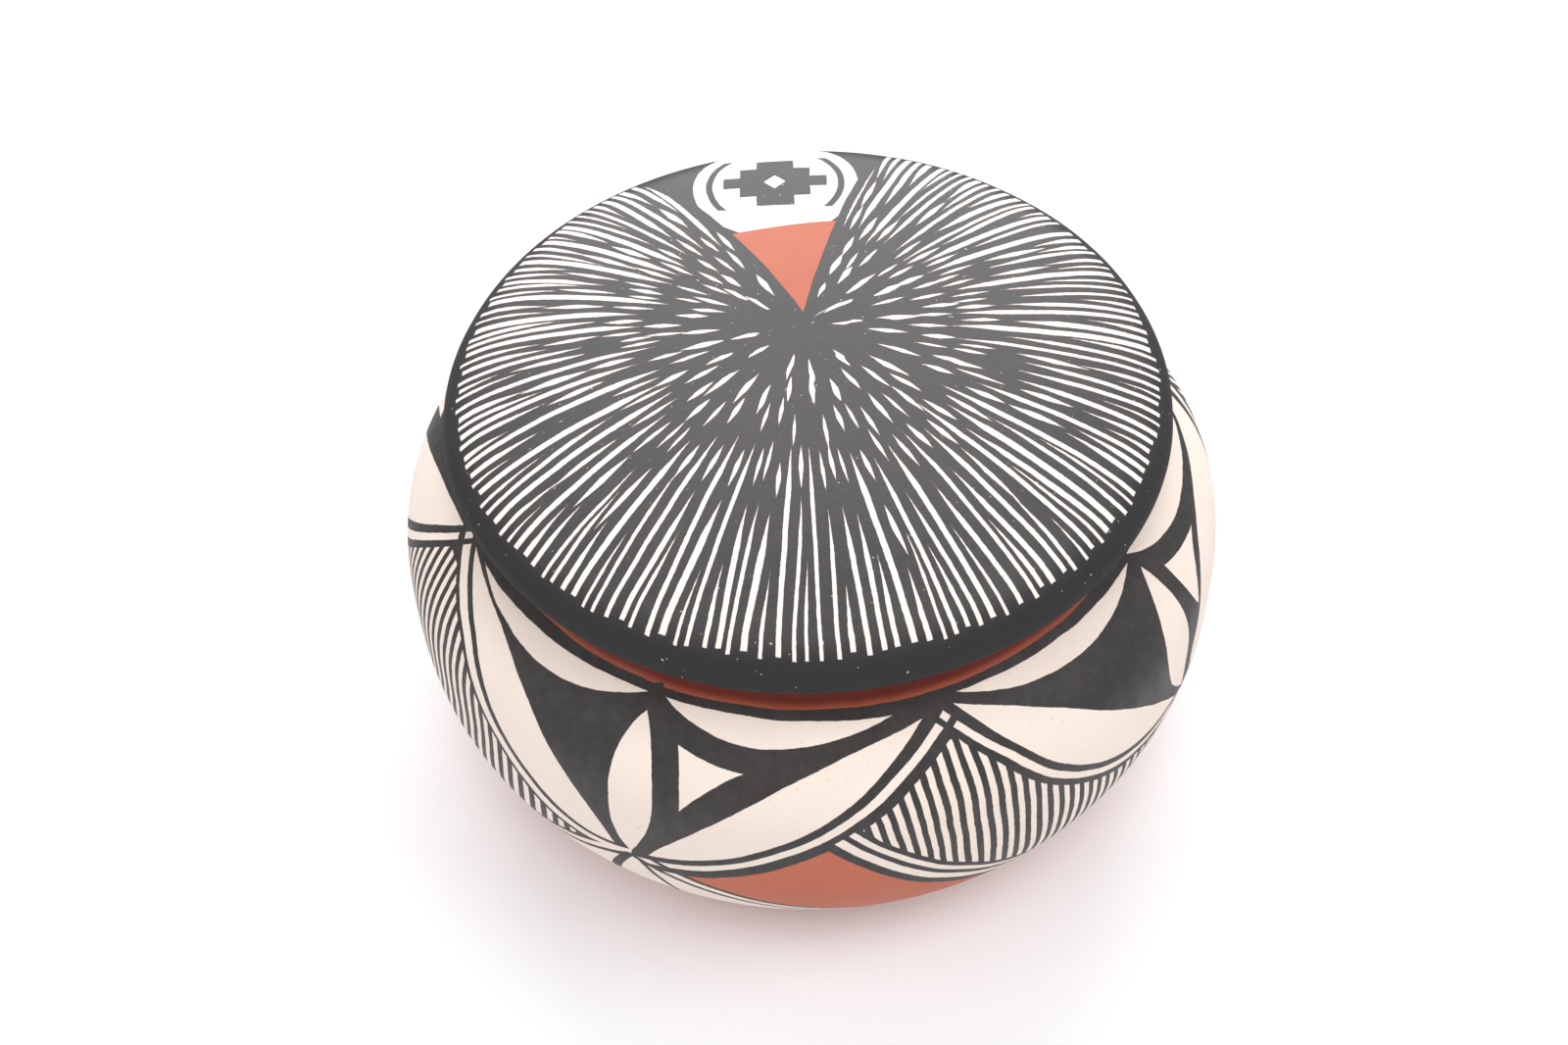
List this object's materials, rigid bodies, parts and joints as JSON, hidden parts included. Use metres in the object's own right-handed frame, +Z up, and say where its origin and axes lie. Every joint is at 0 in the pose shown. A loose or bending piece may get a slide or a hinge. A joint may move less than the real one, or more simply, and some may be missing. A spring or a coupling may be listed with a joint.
{
  "type": "lidded pottery box",
  "caption": "Squat round hand-built pottery jar with a wide domed lid that lifts off, its underside flange dropping into the mouth.",
  "frame": {"origin": "middle of the jar's flat foot, on the surface that the box stands on", "axes": "+Z up along the axis that the jar and the lid are both round about; -Y is the side that the picture shows in front"},
  "size_m": [0.12, 0.12, 0.075],
  "materials": {
    "painted_slip_clay": "matte",
    "black_slip_clay": "satin"
  },
  "bodies": {
    "jar": {"jar": "painted_slip_clay"},
    "lid": {"lid": "black_slip_clay"}
  },
  "joints": [
    {"name": "lid_lift", "type": "slide", "parent": "jar", "child": "lid", "axis": [0, 0, 1], "range_m": [0, 0.06]}
  ]
}
